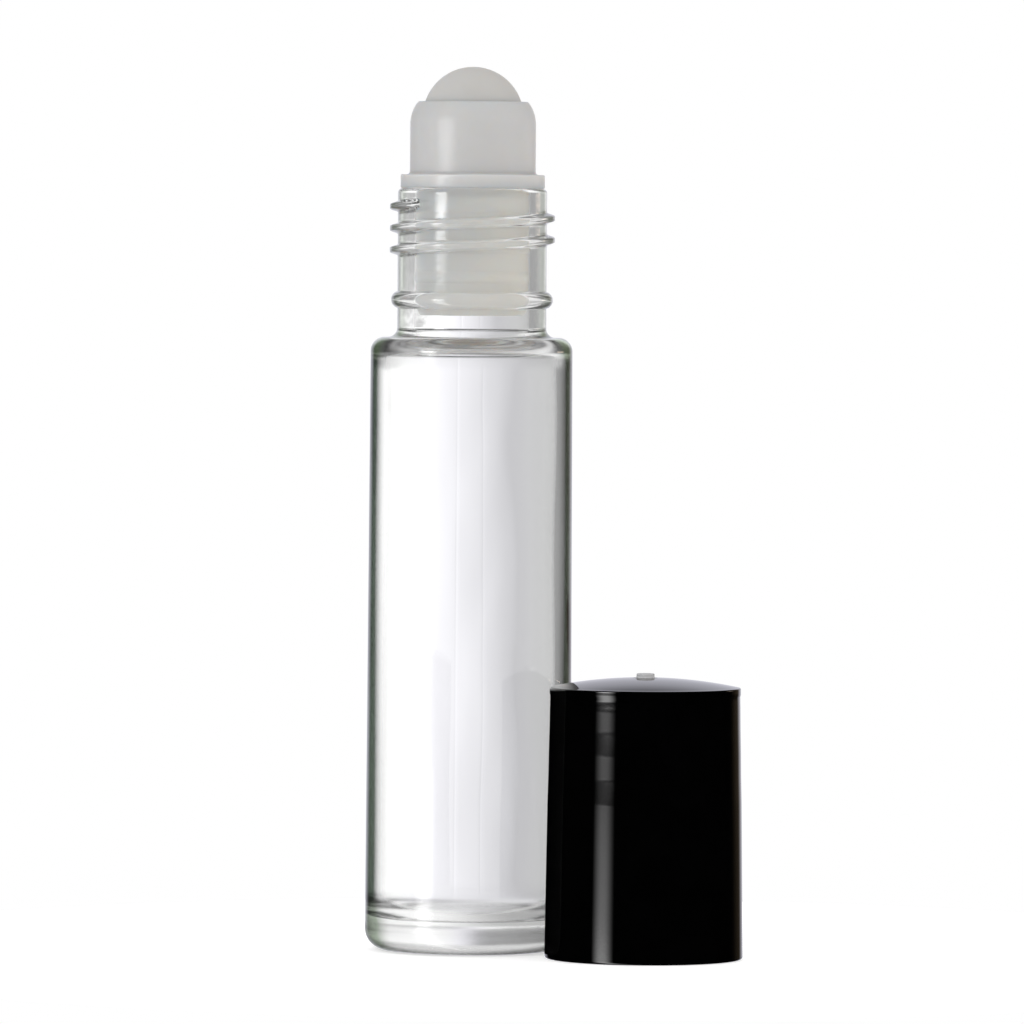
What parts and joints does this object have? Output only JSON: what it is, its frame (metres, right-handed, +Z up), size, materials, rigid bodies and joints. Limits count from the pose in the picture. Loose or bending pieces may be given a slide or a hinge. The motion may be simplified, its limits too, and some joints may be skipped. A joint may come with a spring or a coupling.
{
  "type": "roll-on bottle",
  "caption": "Small clear glass bottle with a screw neck, a frosted ball housing and ball in it, and a black screw cap that stands beside it.",
  "frame": {"origin": "centre of the flat ring that the bottle stands on, at table height", "axes": "+Z up along the bottle's axis; the cap stands towards +X and -Y, and the picture looks along +Y"},
  "size_m": [0.0356, 0.0288, 0.0836],
  "materials": {
    "clear_glass": "clear soda-lime glass, slightly green in its thick edges, fire-polished and a little wavy",
    "frosted_housing": "natural milky polyethylene, satin",
    "frosted_ball": "natural milky plastic ball, fine satin",
    "black_cap": "moulded black plastic, polished"
  },
  "bodies": {
    "bottle": {"glass_bottle": "clear_glass"},
    "housing": {"roller_housing": "frosted_housing"},
    "ball": {"roller_ball": "frosted_ball"},
    "screw_cap": {"cap": "black_cap"}
  },
  "joints": [
    {"name": "housing_pull", "type": "slide", "parent": "bottle", "child": "housing", "axis": [0, 0, 1], "range_m": [0, 0.016]},
    {"name": "ball_roll", "type": "hinge", "parent": "housing", "child": "ball", "pos_m": [0, 0, 0.0788], "axis": [1, 0, 0], "continuous": true},
    {"name": "cap_lift", "type": "slide", "parent": "bottle", "child": "screw_cap", "axis": [0, 0, 1], "range_m": [0, 0.09]}
  ]
}
